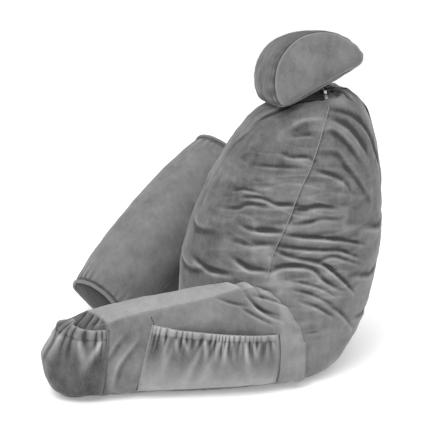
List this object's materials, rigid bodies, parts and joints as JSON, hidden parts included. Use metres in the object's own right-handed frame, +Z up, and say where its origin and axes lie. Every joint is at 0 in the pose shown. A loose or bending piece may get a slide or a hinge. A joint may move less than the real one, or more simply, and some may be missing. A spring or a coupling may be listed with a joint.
{
  "type": "reading pillow with arms and bolster",
  "caption": "Stuffed velvet reading pillow: tall backrest with padded, pocketed arms, a strapped half-round neck cushion and a loose half-round bolster.",
  "frame": {"origin": "on the floor under the backrest, in the plane that the two arms mirror in", "axes": "+Z up from the floor; -Y the way the sitter faces and the arms reach; +X across the seat towards the arm that is open to view"},
  "size_m": [0.7496, 0.7436, 0.7381],
  "materials": {
    "grey_velvet": "mid-grey short-pile velvet with soft sheen at grazing angles",
    "piping_velvet": "the same velvet over a round cord",
    "zip_cloth": "dark grey woven zip tape",
    "nickel": "nickel-plated zip slider and pull"
  },
  "bodies": {
    "root": {"backrest": "grey_velvet", "arm_near": "grey_velvet", "arm_far": "grey_velvet", "side_pocket_near": "grey_velvet", "side_pocket_far": "grey_velvet", "end_pocket_near": "grey_velvet", "end_pocket_far": "grey_velvet", "neck_cushion": "grey_velvet", "neck_strap": "grey_velvet", "bolster": "grey_velvet", "bolster_piping_foot": "piping_velvet", "bolster_piping_head": "piping_velvet", "zip_tape": "zip_cloth", "zip_slider": "nickel", "zip_pull": "nickel"}
  },
  "joints": []
}
